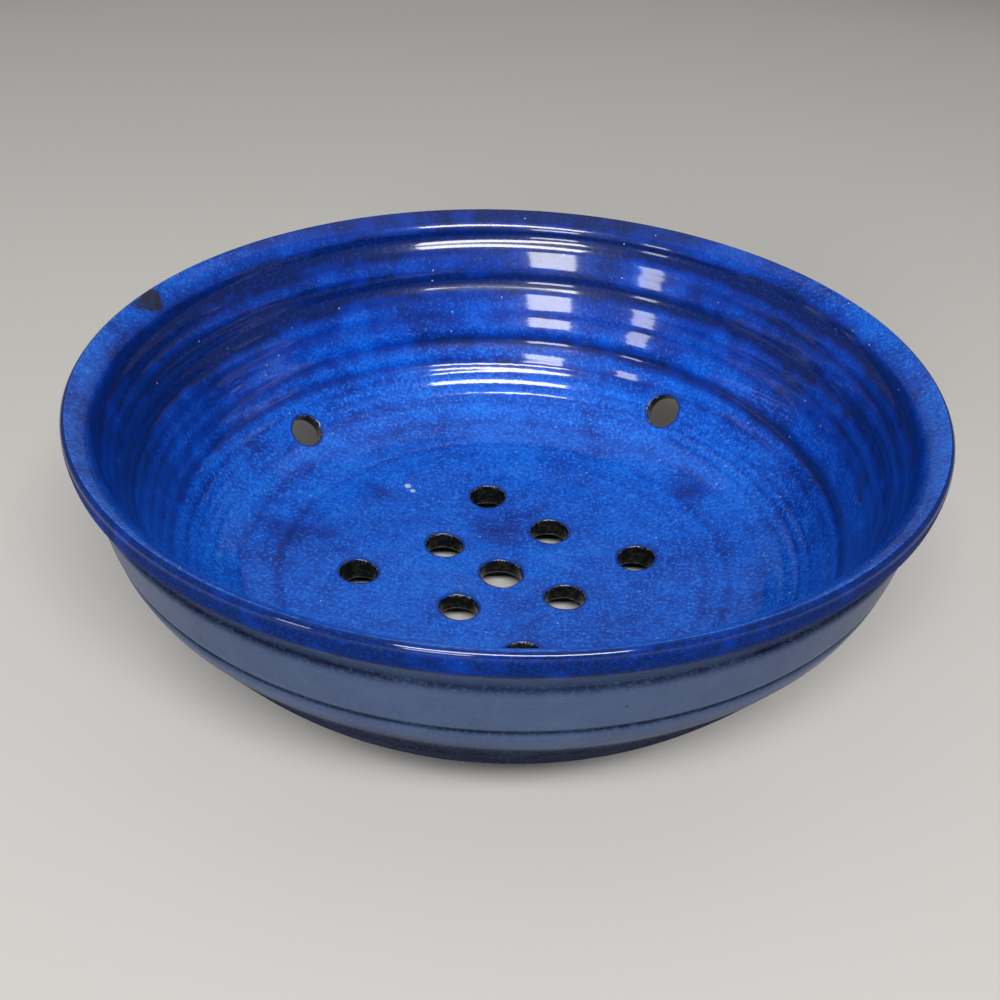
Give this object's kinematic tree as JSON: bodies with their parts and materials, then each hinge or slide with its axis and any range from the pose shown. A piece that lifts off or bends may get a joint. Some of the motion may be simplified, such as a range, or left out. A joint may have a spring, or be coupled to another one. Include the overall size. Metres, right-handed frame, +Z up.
{
  "type": "berry colander bowl",
  "caption": "Wide, low, wheel-thrown stoneware bowl with a flared lip, blue glaze and drain holes through its floor and lower wall, for rinsing and serving berries.",
  "frame": {"origin": "centre of the foot ring on the plane that the bowl stands on", "axes": "+Z up along the axis that the bowl was thrown on, -Y towards the picture's camera, +X to the picture's right"},
  "size_m": [0.22, 0.22, 0.075],
  "materials": {
    "stoneware": "matte",
    "inside_glaze": "gloss",
    "outside_glaze": "gloss",
    "base_glaze": "gloss",
    "drain_hole_glaze": "gloss"
  },
  "bodies": {
    "root": {"stoneware_body": "stoneware", "inside_glaze": "inside_glaze", "outside_glaze": "outside_glaze", "base_glaze": "base_glaze", "drain_hole_glaze": "drain_hole_glaze"}
  },
  "joints": []
}
